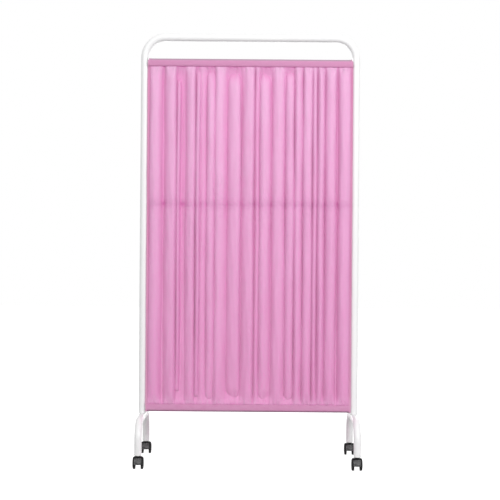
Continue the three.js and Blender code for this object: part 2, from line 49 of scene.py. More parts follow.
CAMERA_SIDE = 0.0034
CAMERA_HEIGHT = 0.8926
CAMERA_LENS = 90.4
CAMERA_ROLL = -0.45

# Light
LIGHT_AIM = Vector((0, 0, 0.95))
WHITE = (1, 1, 1, 1)

# Places and sizes read from the frame, in metres
TUBE_LOW, TUBE_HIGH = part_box("frame_tube")
POST_RADIUS = (TUBE_HIGH.y - TUBE_LOW.y) / 2
POST_Y = (TUBE_HIGH.y + TUBE_LOW.y) / 2
POST_X = TUBE_HIGH.x - POST_RADIUS
BAR_Z = TUBE_HIGH.z - POST_RADIUS
FOOT_LOW, FOOT_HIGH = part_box("foot_right")
LEG_RADIUS = (FOOT_HIGH.x - FOOT_LOW.x) / 2
RAIL_LOW, RAIL_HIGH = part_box("middle_rail")
ROD_LOW, ROD_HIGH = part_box("curtain_rod_top")
ROD_RADIUS = (ROD_HIGH.z - ROD_LOW.z) / 2
ROD_Y = (ROD_HIGH.y + ROD_LOW.y) / 2
TOP_ROD_Z = (ROD_HIGH.z + ROD_LOW.z) / 2
LOW_ROD_LOW, LOW_ROD_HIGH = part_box("curtain_rod_bottom")
BOTTOM_ROD_Z = (LOW_ROD_HIGH.z + LOW_ROD_LOW.z) / 2
CLOTH_LOW, CLOTH_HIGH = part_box("curtain")
BRACKET_LOW, BRACKET_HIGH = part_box("rod_bracket_top_right")
BRACKET_HALF = (BRACKET_HIGH.y - BRACKET_LOW.y) / 2

# Tubes
GAP = 0.0003
POST_WALL = 0.0015
THIN_WALL = 0.0012
LIP_SHARE = 0.3
CORNER_RADIUS = 0.085
FOOT_BEND_RADIUS = 0.080
ROUND_SIDES = 56
BEND_STEPS = 28
CROWN_Z = TUBE_LOW.z - GAP - LEG_RADIUS
SPIGOT_RADIUS = POST_RADIUS - POST_WALL - GAP

# Curtain
CLOTH_THICKNESS = 0.001
CLOTH_WIDTH = CLOTH_HIGH.x - CLOTH_LOW.x
THREAD_PITCH = 0.00062
LAYER_PITCH = 1.05
POCKET_DROP = 0.0208
TOP_SEAM_Z = TOP_ROD_Z - POCKET_DROP
LOW_SEAM_Z = BOTTOM_ROD_Z + POCKET_DROP
BODY_HEIGHT = TOP_SEAM_Z - LOW_SEAM_Z
TOP_SEAM_Y = ROD_Y - 0.004
LOW_SEAM_Y = ROD_Y - 0.0078
FLANK_DROP = 0.0135
FLANK_LEAN = 0.0012
SEAM_TAIL = 0.0025
TAIL_SHARES = (1.0, 0.5, 0.0)
HEM_THICKNESS = CLOTH_THICKNESS * 1.8
VALLEY_Y = RAIL_LOW.y - GAP - CLOTH_THICKNESS
HEM_WIDTH = 0.012
HEM_REACH = HEM_WIDTH * 1.001
SEAM_HALF = BRACKET_LOW.x - GAP
RIDGE_HEIGHT = 0.022
SLEEVE_RIDGE = 0.7
HEM_STEP = 0.0005
GATHER_REACH = 0.06
FOLD_WANDER = 0.0012
FOLD_SWELL = 0.07
FOLD_SLIMMER = 0.55
SLIMMER_REACH = 0.07
FOLD_END = 0.8
END_SHARPER = 0.3
BROAD_RIPPLE = 0.00022
BROAD_PUCKER = 0.00085
FINE_PUCKER = 0.00030
SEAM_PUCKER = 0.00025
SIDE_BLEND = 0.003
BRACKET_CLEARANCE = 0.0009
CLOTH_COLUMNS = 420
SEAM_ROW_PITCH = 0.0028
BODY_ROW_PITCH = 0.014
FINE_ROWS_REACH = 0.095
POCKET_STEPS = 22
STITCH_LENGTH = 0.0030
STITCH_PITCH = 0.0042
STITCH_RADIUS = 0.00042
STITCH_SIDES = 6
STITCH_LIFT = CLOTH_THICKNESS * 0.95
HEM_STITCHES = HEM_WIDTH * 0.75

# Places along a stitch and its relative thickness there
STITCH_STATIONS = ((-0.5, 0.05), (-0.42, 0.75), (-0.15, 1.0), (0.15, 1.0), (0.42, 0.75), (0.5, 0.05))

# Each fold: its place as a share of the cloth's width; how far its left and right flanks reach,
# its height, how soft each flank is, and, for some, how far from the top and bottom seams it begins
FOLDS = (
    (0, 0.01, 0.014, 0.011, 1, 1),
    (0.04, 0.03, 0.03, 0.025, 0.8, 0.9),
    (0.126, 0.038, 0.0145, 0.028, 0.9, 0.55),
    (0.151, 0.0085, 0.011, 0.021, 0.8, 0.8, 0.055, 0.052),
    (0.19, 0.016, 0.02, 0.004, 1, 1),
    (0.218, 0.03, 0.0145, 0.026, 0.9, 0.45),
    (0.248, 0.0105, 0.011, 0.027, 0.5, 0.8, 0.019, 0.029),
    (0.27, 0.016, 0.02, 0.013, 1, 1),
    (0.311, 0.02, 0.0185, 0.025, 0.55, 0.7, 0.022, 0.022),
    (0.35, 0.0215, 0.036, 0.025, 0.7, 1.1),
    (0.434, 0.04, 0.0195, 0.028, 0.8, 0.55, 0.028, 0.03),
    (0.504, 0.04, 0.0145, 0.026, 0.9, 0.5),
    (0.5355, 0.011, 0.013, 0.015, 0.9, 0.9),
    (0.5695, 0.0215, 0.03, 0.028, 0.55, 0.9, 0.031, 0.024),
    (0.641, 0.031, 0.028, 0.025, 0.8, 0.8),
    (0.696, 0.021, 0.0175, 0.027, 0.6, 0.45, 0.022, 0.022),
    (0.732, 0.015, 0.024, 0.024, 0.8, 0.9),
    (0.781, 0.0195, 0.02, 0.027, 0.45, 0.4),
    (0.816, 0.011, 0.011, 0.022, 0.7, 0.6),
    (0.845, 0.015, 0.0185, 0.026, 0.8, 0.8),
    (0.896, 0.026, 0.024, 0.027, 0.7, 0.7),
    (0.959, 0.025, 0.034, 0.027, 0.7, 0.9),
    (1, 0.01, 0.01, 0.011, 1, 1),
)

# Castors, drawn about the stem's axis with the floor at z = 0
WHEEL_RADIUS = 0.025
CASTOR_TRAIL = 0.018
WHEEL_GAP = 0.023
WHEEL_WIDTH = 0.0115
TREAD_WIDTH = 0.009
TREAD_THICKNESS = 0.003
AXLE_BORE = 0.0033
STEM_BOSS = 0.0085
WEB_THICKNESS = 0.005
HOUSING_LOW, HOUSING_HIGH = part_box("front_left_castor_housing")
HOOD_WIDTH = HOUSING_HIGH.x - HOUSING_LOW.x
BOSS_RISE = 0.001
HOOD_OUTER = HOUSING_HIGH.z - BOSS_RISE - WHEEL_RADIUS
HOOD_CROWN = 0.003
PANEL_HEIGHT = 0.0004
# The hood's span in degrees, and that of its front face, which is grained and painted lighter as if lit
HOOD_ANGLES = (55, 190)
LIT_GRAINED_ANGLES = (132, 195)


# Node trees
class Nodes:
    """Short calls for a tree's nodes. They return an output."""

    def __init__(self, tree):
        self.tree = tree

    def feed(self, socket, value):
        if isinstance(value, bpy.types.NodeSocket):
            self.tree.links.new(value, socket)
        else:
            socket.default_value = value

    def node(self, kind, inputs, output=0, **settings):
        made = self.tree.nodes.new("ShaderNode" + kind)
        for key, value in settings.items():
            setattr(made, key, value)
        for key, value in inputs.items():
            self.feed(made.inputs[key], value)
        return made.outputs[output]

    def math(self, operation, first, second=0.0):
        return self.node("Math", {0: first, 1: second}, operation=operation)

    def times(self, first, second):
        return self.math("MULTIPLY", first, second)

    def seen(self):
        """1 for rays from the camera or a mirror image, 0 for rays that light the object."""
        path = self.tree.nodes.new("ShaderNodeLightPath").outputs
        total = path["Is Camera Ray"]
        for name in ("Is Glossy Ray", "Is Transmission Ray"):
            total = self.math("MAXIMUM", total, path[name])
        return total

    def show(self, shader, output="Material Output"):
        self.feed(self.tree.nodes[output].inputs["Surface"], shader)


# Camera, lights and the stage
def new_object(name, data):
    """An object linked into the scene."""
    made = bpy.data.objects.new(name, data)
    bpy.context.scene.collection.objects.link(made)
    return made


def new_mesh(name, points, faces):
    mesh = bpy.data.meshes.new(name)
    mesh.from_pydata(np.asarray(points).reshape(-1, 3).tolist(), [], faces)
    return mesh


def add_camera():
    data = bpy.data.cameras.new("camera")
    data.lens = CAMERA_LENS
    data.clip_end = 100
    camera = new_object("camera", data)
    camera.location = (CAMERA_SIDE, POST_Y - CAMERA_DISTANCE, CAMERA_HEIGHT)
    camera.rotation_euler = (math.pi / 2, math.radians(CAMERA_ROLL), 0)
    bpy.context.scene.camera = camera


def add_area_light(name, place, width, height, power):
    data = bpy.data.lights.new(name, "AREA")
    data.shape = "RECTANGLE"
    data.size = width
    data.size_y = height
    data.energy = power
    light = new_object(name, data)
    light.location = place
    light.rotation_euler = (LIGHT_AIM - Vector(place)).to_track_quat("-Z", "Y").to_euler()
    light.visible_camera = False


def add_world(light_level):
    """A plain studio that looks white and lights the object evenly."""
    world = bpy.data.worlds.new("studio")
    bpy.context.scene.world = world
    world.use_nodes = True
    nodes = Nodes(world.node_tree)
    lit = nodes.tree.nodes["Background"]
    nodes.feed(lit.inputs["Color"], WHITE)
    nodes.feed(lit.inputs["Strength"], light_level)
    white = nodes.node("Background", {"Color": WHITE, "Strength": 1})
    both = nodes.node("MixShader", {0: nodes.seen(), 1: lit.outputs[0], 2: white})
    nodes.show(both, "World Output")


def add_floor(half_width, grey, seen_level):
    """A plain floor that takes the object's shadow."""
    corners = [(x * half_width, y * half_width, 0) for x, y in ((-1, -1), (1, -1), (1, 1), (-1, 1))]
    mesh = new_mesh("floor", corners, [(0, 1, 2, 3)])
    material = bpy.data.materials.new("floor")
    material.use_nodes = True
    nodes = Nodes(material.node_tree)
    nodes.tree.nodes.remove(nodes.tree.nodes["Principled BSDF"])
    matt = nodes.node("BsdfDiffuse", {"Color": (grey, grey, grey, 1)})
    glow = nodes.node("Emission", {"Strength": nodes.times(nodes.seen(), seen_level)})
    nodes.show(nodes.node("AddShader", {0: matt, 1: glow}))
    mesh.materials.append(material)
    new_object("floor", mesh)


# Materials
class Finish(Nodes):
    """A material and calls for its detail."""

    def __init__(self, name):
        self.material = bpy.data.materials.new(name)
        self.material.use_nodes = True
        super().__init__(self.material.node_tree)
        self.shader = self.tree.nodes["Principled BSDF"]
        self.place = self.node("TexCoord", {}, "Object")

    def axis(self, vector, name):
        return self.node("SeparateXYZ", {0: vector}, name)

    def range(self, value, from_low, from_high, to_low, to_high):
        ends = {"From Min": from_low, "From Max": from_high, "To Min": to_low, "To Max": to_high}
        return self.node("MapRange", {"Value": value, **ends})

    def mix(self, factor, first, second):
        """A blend of two colours, each an output or plain red, green and blue."""
        pair = [(*tone, 1) if isinstance(tone, tuple) else tone for tone in (first, second)]
        return self.node("Mix", {0: factor, 6: pair[0], 7: pair[1]}, 2, data_type="RGBA")

    def stretched(self, vector, *scale):
        return self.node("Mapping", {"Vector": vector, "Scale": scale})

    def noise(self, vector, scale, detail=2.0, roughness=0.5):
        inputs = {"Vector": vector, "Scale": scale, "Detail": detail, "Roughness": roughness}
        return self.node("TexNoise", inputs)

    def patches(self, scale, detail, from_low, from_high, to_low, to_high, roughness=0.5):
        """Noise over the object, mapped to a range."""
        noise = self.noise(self.place, scale, detail, roughness)
        return self.range(noise, from_low, from_high, to_low, to_high)

    def bump(self, height, strength, distance, under=None):
        inputs = {"Height": height, "Strength": strength, "Distance": distance}
        if under is not None:
            inputs["Normal"] = under
        return self.node("Bump", inputs)

    def grain(self, scale, strength, distance):
        return self.bump(self.noise(self.place, scale), strength, distance)

    def done(self, tone, rough, normal, **others):
        """The material, once its shader has these inputs."""
        for key, value in {"Base_Color": tone, "Roughness": rough, "Normal": normal, **others}.items():
            self.feed(self.shader.inputs[key.replace("_", " ")], value)
        return self.material


def white_paint():
    """Powder coat: a fine orange peel, faint clouding, hairline scuffs and dust near the floor."""
    look = Finish("white_paint")
    clouds = look.patches(5.0, 3.0, 0.3, 0.7, 0, 1)
    tone = look.mix(clouds, (0.9, 0.903, 0.907), (0.93, 0.93, 0.928))
    streaks = look.noise(look.stretched(look.place, 1.0, 1.0, 0.08), 420.0, 3.0, 0.7)
    scuffs = look.range(streaks, 0.69, 0.75, 0, 0.35)
    low = look.range(look.axis(look.place, "Z"), 0.06, 0.26, 1, 0)
    dust = look.times(low, look.patches(60.0, 4.0, 0.52, 0.75, 0, 0.25))
    tone = look.mix(look.math("MAXIMUM", scuffs, dust), tone, (0.66, 0.655, 0.64))
    rough = look.patches(34.0, 4.0, 0.3, 0.7, 0.30, 0.44)
    rough = look.math("ADD", rough, look.times(dust, 0.5))
    return look.done(tone, rough, look.grain(850.0, 0.12, 0.0002), Coat_Weight=0.15, Coat_Roughness=0.2)


def white_plastic():
    """Moulded plastic with a fine grain and slight yellowing."""
    look = Finish("white_plastic")
    clouds = look.patches(70.0, 3.0, 0.35, 0.65, 0, 1)
    tone = look.mix(clouds, (0.92, 0.92, 0.91), (0.88, 0.878, 0.86))
    rough = look.patches(240.0, 3.0, 0.3, 0.7, 0.42, 0.56)
    return look.done(tone, rough, look.grain(2600.0, 0.2, 0.00008))


def black_nylon():
    """Moulded black nylon: satin, finely grained, with dust lying on it."""
    look = Finish("black_nylon")
    dusty = look.patches(160.0, 5.0, 0.55, 0.8, 0, 0.3, 0.65)
    tone = look.mix(dusty, (0.006, 0.006, 0.007), (0.04, 0.039, 0.037))
    rough = look.patches(300.0, 3.0, 0.3, 0.7, 0.32, 0.46)
    return look.done(tone, rough, look.grain(2400.0, 0.25, 0.0001), Specular_IOR_Level=0.1)


def lit_hood_nylon():
    """The hood's outer skin: the same nylon, spark-grained, and painted a lighter grey where light falls on
    its front.
    """
    look = Finish("lit_hood_nylon")
    cells = look.node("TexVoronoi", {"Vector": look.place, "Scale": 900.0})
    lit_mottle = look.patches(110.0, 5.0, 0.42, 0.72, 0, 1, 0.7)
    tone = look.mix(lit_mottle, (0.04, 0.04, 0.041), (0.21, 0.21, 0.212))
    rough = look.range(lit_mottle, 0, 1, 0.4, 0.6)
    return look.done(tone, rough, look.bump(cells, 0.5, 0.0002), Specular_IOR_Level=0.3)


def tread_rubber():
    """Black rubber with moulding flecks and floor dust in its pores."""
    look = Finish("tread_rubber")
    pores = look.noise(look.place, 1300.0, 4.0, 0.7)
    dusty = look.patches(210.0, 5.0, 0.5, 0.8, 0, 0.45, 0.7)
    tone = look.mix(dusty, (0.006, 0.006, 0.006), (0.05, 0.048, 0.045))
    rough = look.range(pores, 0.3, 0.7, 0.55, 0.75)
    return look.done(tone, rough, look.bump(pores, 0.35, 0.00015), Specular_IOR_Level=0.15)


def plated_steel():
    """Zinc plate: small crystals, fine turning marks and a slight warm cast."""
    look = Finish("plated_steel")
    crystals = look.node("TexVoronoi", {"Vector": look.place, "Scale": 450.0}, "Color")
    shade = look.node("RGBToBW", {0: crystals})
    tone = look.mix(shade, (0.56, 0.57, 0.58), (0.68, 0.675, 0.65))
    marks = look.noise(look.stretched(look.place, 1.0, 1.0, 12.0), 900.0, 3.0)
    rough = look.range(marks, 0.3, 0.7, 0.24, 0.4)
    return look.done(tone, rough, look.bump(marks, 0.15, 0.0001), Metallic=1.0)


def pink_cloth():
    """Plain weave with slubs. Painted lighter towards the top and on its ridges, with painted shade in its
    valleys, below the top seam, where it lies double and on the sleeves' upper faces and undersides, a
    painted highlight above the lower seam and a painted shadow of the rail at its height. Light from behind
    shows through it."""
    look = Finish("pink_cloth")
    threads = look.node("UVMap", {}, uv_map="weave")
    crossings = [look.times(look.axis(threads, way), math.pi / THREAD_PITCH) for way in "XY"]
    weave = look.times(*[look.math("SINE", crossing) for crossing in crossings])
    stretches = ((1500.0, 22.0, 1.0), (22.0, 1500.0, 1.0))
    slubs = look.math("ADD", *[look.noise(look.stretched(threads, *way), 1.0) for way in stretches])
    height = look.math("ADD", look.times(weave, 0.5), slubs)
    high = look.axis(look.place, "Z")
    # Painted light: the cloth is painted lighter towards the top, as if lit from above.
    height_share = look.range(high, CLOTH_LOW.z, CLOTH_HIGH.z, 0, 1)
    tone = look.mix(height_share, (0.76, 0.262, 0.56), (0.865, 0.495, 0.75))
    tone = look.mix(look.patches(9.0, 4.0, 0.3, 0.7, 0, 0.16), tone, (0.78, 0.25, 0.53))
    tone = look.mix(look.range(slubs, 0.75, 1.2, 0.22, 0), tone, (0.68, 0.19, 0.43))
    ridge, layers = [look.node("Attribute", {}, "Fac", attribute_name=name)
                     for name in ("ridge", "layers")]
    # Painted shade: the valleys are darker and deeper pink than the ridges, most of all higher up.
    painted_valley_shade = look.times(look.range(ridge, 0.2, 1.1, 0.75, 0), look.range(height_share, 0, 0.5, 0.35, 1))
    tone = look.mix(painted_valley_shade, tone, (0.74, 0.18, 0.50))
    # Painted highlight: a lighter, blotchy band just above the lower seam.
    painted_low_highlight = look.range(high, LOW_SEAM_Z, LOW_SEAM_Z + 0.045, 0.32, 0)
    blotches = look.noise(look.stretched(look.place, 1.0, 1.0, 2.2), 34.0, 3.0)
    painted_low_highlight = look.times(painted_low_highlight, look.range(blotches, 0.35, 0.6, 0.35, 1))
    tone = look.mix(painted_low_highlight, tone, (0.88, 0.50, 0.75))
    # Painted shade: a darker band from about 2 to 45 mm below the top seam.
    painted_seam_shade = look.times(look.range(high, TOP_SEAM_Z - 0.008, TOP_SEAM_Z - 0.002, 0.14, 0),
                         look.range(high, TOP_SEAM_Z - 0.045, TOP_SEAM_Z - 0.010, 0, 1))
    tone = look.mix(painted_seam_shade, tone, (0.30, 0.15, 0.25))
    # Painted shadow of the rail behind the cloth: a darker band at its height, strongest on the ridges.
    painted_rail_shadow = look.times(look.range(high, RAIL_LOW.z - 0.004, RAIL_LOW.z, 0, 0.09),
                           look.range(high, RAIL_HIGH.z + 0.008, RAIL_HIGH.z + 0.012, 1, 0))
    painted_rail_shadow = look.times(painted_rail_shadow, look.range(ridge, 0.3, 1.0, 0.1, 1))
    tone = look.mix(painted_rail_shadow, tone, (0.62, 0.2, 0.45))
    # Painted shade where the cloth lies double: in the sleeves and side hems, most of all at the edges.
    painted_double_shade = look.mix(height_share, (0.72, 0.50, 0.55), (0.66, 0.32, 0.42))
    tone = look.mix(look.times(layers, 0.24), tone, painted_double_shade)
    facing = look.axis(look.node("NewGeometry", {}, "Normal"), "Z")
    high_hem = look.times(look.math("MINIMUM", layers, 1.0), height_share)
    # Painted shade: a greyish tone on upward-facing cloth where it lies double, stronger higher up.
    painted_upward_shade = look.times(look.range(facing, 0.12, 0.85, 0, 0.95), high_hem)
    tone = look.mix(painted_upward_shade, tone, (0.44, 0.37, 0.42))
    # Painted shade: darker on downward-facing cloth below the bottom rod's axis.
    lowest = look.range(high, BOTTOM_ROD_Z - ROD_RADIUS, BOTTOM_ROD_Z, 1, 0)
    painted_underside_shade = look.times(look.range(facing, -0.05, -0.6, 0, 0.9), lowest)
    tone = look.mix(painted_underside_shade, tone, (0.30, 0.17, 0.24))
    creases = look.noise(look.stretched(threads, 75.0, 0.9, 1.0), 1.0, 3.0, 0.6)
    normal = look.bump(height, 0.3, 0.00012, look.bump(creases, 0.35, 0.004))
    look.done(tone, look.range(slubs, 0.8, 1.2, 0.78, 0.9), normal, Sheen_Weight=0.25,
              Sheen_Roughness=0.45, Sheen_Tint=(1.0, 0.66, 0.88, 1), Specular_IOR_Level=0.2)
    through = look.node("BsdfTranslucent", {"Color": (0.96, 0.92, 0.96, 1), "Normal": normal})
    share = look.range(layers, 0, 2, 0.36, 0.08)
    look.show(look.node("MixShader", {0: share, 1: look.shader.outputs[0], 2: through}))
    return look.material


def thread():
    """Sewing thread: twisted, a shade deeper than the cloth."""
    look = Finish("thread")
    wave = {"Vector": look.place, "Scale": 600.0, "Distortion": 1.0}
    twist = look.node("TexWave", wave, bands_direction="DIAGONAL")
    tone = look.mix(twist, (0.50, 0.17, 0.34), (0.68, 0.28, 0.50))
    return look.done(tone, look.range(twist, 0, 1, 0.6, 0.8), look.bump(twist, 0.4, 0.0001))


FINISHES = {"white_paint": white_paint(), "white_plastic": white_plastic(), "steel": plated_steel(),
            "black_nylon": black_nylon(), "tread_rubber": tread_rubber(), "pink_cloth": pink_cloth()}


# Mesh building
def grid_faces(rows, columns, wrap_rows, wrap_columns):
    """Quads of a grid of points, numbered row by row."""
    row, column = np.meshgrid(np.arange(rows if wrap_rows else rows - 1),
                              np.arange(columns if wrap_columns else columns - 1), indexing="ij")
    next_row = (row + 1) % rows
    next_column = (column + 1) % columns
    quads = [row * columns + column, row * columns + next_column,
             next_row * columns + next_column, next_row * columns + column]
    return np.stack(quads, axis=-1).reshape(-1, 4).tolist()


def tidy(mesh, sharp_degrees=38, weld=1e-6):
    """Welds points, turns all faces outwards and keeps only real edges sharp."""
    bm = bmesh.new()
    bm.from_mesh(mesh)
    bmesh.ops.remove_doubles(bm, verts=bm.verts, dist=weld)
    bmesh.ops.dissolve_degenerate(bm, edges=bm.edges, dist=weld)
    bmesh.ops.delete(bm, geom=[edge for edge in bm.edges if not edge.link_faces], context="EDGES")
    bmesh.ops.recalc_face_normals(bm, faces=bm.faces)
    for face in bm.faces:
        face.smooth = True
    for edge in bm.edges:
        sharp = len(edge.link_faces) == 2 and edge.calc_face_angle() > math.radians(sharp_degrees)
        edge.smooth = not sharp
    bm.to_mesh(mesh)
    bm.free()
    return mesh


def solid_from_grid(points, wrap_columns=True):
    """A closed surface from a grid of points, its last row joined to its first."""
    return tidy(new_mesh("grid", points, grid_faces(*points.shape[:2], True, wrap_columns)))


def mesh_of(bm):
    """The mesh of a bmesh, which is then freed."""
    mesh = bpy.data.meshes.new("part")
    bm.to_mesh(mesh)
    bm.free()
    return mesh


def plate(outline, thickness):
    """A bmesh of a flat outline drawn out along X."""
    bm = bmesh.new()
    face = bm.faces.new([bm.verts.new(point) for point in outline])
    grown = bmesh.ops.extrude_face_region(bm, geom=[face])
    far = [item for item in grown["geom"] if isinstance(item, bmesh.types.BMVert)]
    bmesh.ops.translate(bm, verts=far, vec=(thickness, 0, 0))
    return bm


def around(count):
    """Angles evenly spaced round a full turn, in radians."""
    return np.linspace(0, 2 * math.pi, count, endpoint=False)


def arc(radius, start, stop, count):
    """Points on a round, from one angle to another in degrees."""
    angles = np.radians(np.linspace(start, stop, count))
    return [(radius * math.cos(angle), radius * math.sin(angle)) for angle in angles]


def filleted(corners, radius, steps=5, closed=True):
    """An outline with its corners rounded. A radius is cut down where an edge is too short for it."""
    points = []
    count = len(corners)
    for i, corner in enumerate(corners):
        corner = Vector(corner)
        size = radius[i] if isinstance(radius, (list, tuple)) else radius
        if size == 0 or (not closed and i in (0, count - 1)):
            points.append(tuple(corner))
            continue
        back = Vector(corners[i - 1]) - corner
        ahead = Vector(corners[(i + 1) % count]) - corner
        angle = back.angle(ahead)
        reach = min(size / math.tan(angle / 2), 0.48 * back.length, 0.48 * ahead.length)
        start = corner + back.normalized() * reach
        end = corner + ahead.normalized() * reach
        for step in range(steps + 1):
            share = step / steps
            near = start.lerp(corner, share)
            far = corner.lerp(end, share)
            points.append(tuple(near.lerp(far, share)))
    return points


def turned_mesh(profile, axis, sides):
    """A profile of (radius, along) points turned about an axis. It is closed unless it ends on the axis."""
    angles = np.radians(np.linspace(0, 360, sides, endpoint=False))
    radius, along = np.array(profile, float).T
    first = np.outer(np.cos(angles), radius)
    second = np.outer(np.sin(angles), radius)
    third = np.broadcast_to(along, first.shape)
    order = {"x": (third, first, second), "y": (first, third, second), "z": (first, second, third)}
    return solid_from_grid(np.stack(order[axis], axis=-1), not radius[0] == radius[-1] == 0)


def lathe(profile, radii, axis, sides):
    """A turned profile with rounded corners. One that starts on the axis isn't closed there."""
    return turned_mesh(filleted(profile, radii, closed=profile[0][0] > 0), axis, sides)


def bent_path(corners, radius):
    """Points and directions along straight runs joined by round bends."""
    corners = [Vector(corner) for corner in corners]
    stations = [(corners[0], (corners[1] - corners[0]).normalized())]
    for before, corner, after in zip(corners, corners[1:], corners[2:]):
        way_in = (corner - before).normalized()
        way_out = (after - corner).normalized()
        turn = way_in.angle(way_out)
        start = corner - way_in * radius * math.tan(turn / 2)
        axis = way_in.cross(way_out).normalized()
        centre = start + axis.cross(way_in) * radius
        for step in range(BEND_STEPS + 1):
            rotation = Matrix.Rotation(turn * step / BEND_STEPS, 3, axis)
            stations.append((centre + rotation @ (start - centre), rotation @ way_in))
    stations.append((corners[-1], (corners[-1] - corners[-2]).normalized()))
    return stations


def tube_mesh(stations, normal, radius, wall, sides=ROUND_SIDES):
    """A tube along stations in one plane, its ends open with rounded lips."""
    normal = Vector(normal)
    lip = wall * LIP_SHARE
    bore = radius - wall
    (first, first_way), (last, last_way) = stations[0], stations[-1]
    inset = [(first + first_way * lip, first_way), *stations[1:-1], (last - last_way * lip, last_way)]
    rings = [(point, way, radius) for point, way in inset]
    rings += [(last, last_way, radius - lip), (last, last_way, bore + lip)]
    rings += [(point, way, bore) for point, way in reversed(inset)]
    rings += [(first, first_way, bore + lip), (first, first_way, radius - lip)]
    grid = []
    for point, way, size in rings:
        side = normal.cross(way).normalized()
        ring = [point + (side * math.cos(a) + normal * math.sin(a)) * size for a in around(sides)]
        grid.append([tuple(corner) for corner in ring])
    return solid_from_grid(np.array(grid))


def piece(name, mesh, slot, node=None, body="frame", place=(0, 0, 0), material=None):
    """A shown piece, on its body, for its CAD node. It takes its slot's finish unless it has its own."""
    made = new_object(name, mesh)
    made.location = place
    if len(mesh.materials) == 0:
        mesh.materials.append(material or FINISHES[slot])
    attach(made, body)
    if node is not None:
        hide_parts(node)
    return made


def evaluated(item):
    """The mesh of an object with its modifiers applied."""
    graph = bpy.context.evaluated_depsgraph_get()
    return bpy.data.meshes.new_from_object(item.evaluated_get(graph))


def combined(first, second, operation):
    """One mesh from two by adding or cutting."""
    pair = [new_object("part", mesh) for mesh in (first, second)]
    modifier = pair[0].modifiers.new("combine", "BOOLEAN")
    modifier.operation = operation
    modifier.solver = "EXACT"
    modifier.object = pair[1]
    made = evaluated(pair[0])
    for item in pair:
        bpy.data.objects.remove(item)
    return tidy(made)


def moved(mesh, offset):
    copy = mesh.copy()
    copy.transform(Matrix.Translation(offset))
    return copy


def mirrored(mesh):
    """A copy mirrored at x = 0."""
    copy = mesh.copy()
    copy.transform(Matrix.Diagonal((-1, 1, 1, 1)))
    copy.flip_normals()
    return copy


# Curtain
def fold_heights(shares, drops):
    """How far the cloth stands forward of its rearmost line, row by row."""
    across = shares[None, :] * CLOTH_WIDTH
    drop = drops[:, None]
    height = np.zeros((len(drops), len(shares)))

    def sway(length, turns):
        return np.sin(2 * math.pi * (drop / length + turns))

    for number, fold in enumerate(FOLDS):
        place, reach_left, reach_right, rise, soft_left, soft_right, *gaps = fold
        offset = across - place * CLOTH_WIDTH - FOLD_WANDER * sway(0.9, 0.37 * number)
        reach = np.where(offset < 0, reach_left, reach_right)
        soft = np.where(offset < 0, soft_left, soft_right)
        end = FOLD_END * (reach_left + reach_right)
        past = np.zeros_like(drop)
        slimmer = 1
        for gap, from_seam in zip(gaps, (drop, BODY_HEIGHT - drop)):
            past = np.maximum(past, (gap + end - from_seam) / end)
            slimmer = slimmer - FOLD_SLIMMER * np.exp(-np.clip(from_seam - gap, 0, None) / SLIMMER_REACH)
        distance = np.sqrt((offset / reach) ** 2 + past ** 2)
        soft = soft * (1 - END_SHARPER * np.clip(past, 0, 1))
        swell = 1 + FOLD_SWELL * sway(0.7, 0.61 * number)
        height = np.maximum(height, rise * swell * slimmer * np.clip(1 - distance ** 2, 0, 1) ** soft)
    return height


def ripples(shares, drops):
    """Small uneven waves over the cloth, livelier close to the seams."""
    dice = random.Random(41)
    across = shares[None, :] * CLOTH_WIDTH
    drop = drops[:, None]
    from_seam = np.minimum(drop, BODY_HEIGHT - drop)
    total = np.zeros((len(drops), len(shares)))

    def wave(cross_way, long_way=math.inf):
        phase = dice.uniform(0, 2 * math.pi)
        return np.sin(2 * math.pi * (across / cross_way + drop / long_way) + phase)

    def near_seam(reach, start):
        return np.exp(-from_seam / reach) * np.clip(from_seam / start, 0, 1)

    for _ in range(14):
        long_way = dice.uniform(0.18, 0.6) * dice.choice((-1, 1))
        total += BROAD_RIPPLE * wave(dice.uniform(0.018, 0.07), long_way)
    for _ in range(10):
        cross_way = dice.uniform(0.006, 0.02)
        slant = dice.uniform(0.02, 0.06) * dice.choice((-1, 1))
        total += FINE_PUCKER * near_seam(0.016, 0.004) * wave(cross_way, slant)
    for _ in range(9):
        total += BROAD_PUCKER * near_seam(0.030, 0.006) * wave(dice.uniform(0.016, 0.042))
    return total


def cloth_shares():
    """Where the columns lie across the cloth, with extra ones where the side hems end."""
    even = np.linspace(0, 1, CLOTH_COLUMNS)
    hem = np.array([HEM_WIDTH, HEM_WIDTH + HEM_STEP]) / CLOTH_WIDTH
    return np.unique(np.concatenate([even, hem, 1 - hem]))


def near_side(shares, reach):
    """Which columns lie within a reach of the cloth's sides."""
    return np.minimum(shares, 1 - shares) * CLOTH_WIDTH <= reach


def body_drops():
    """Distances of the cloth's rows below the top seam, closer near both seams."""
    near = np.arange(0, FINE_ROWS_REACH, SEAM_ROW_PITCH)
    middle = np.linspace(FINE_ROWS_REACH, BODY_HEIGHT - FINE_ROWS_REACH, round(BODY_HEIGHT / BODY_ROW_PITCH))
    return np.concatenate([near, middle, BODY_HEIGHT - near[::-1]])


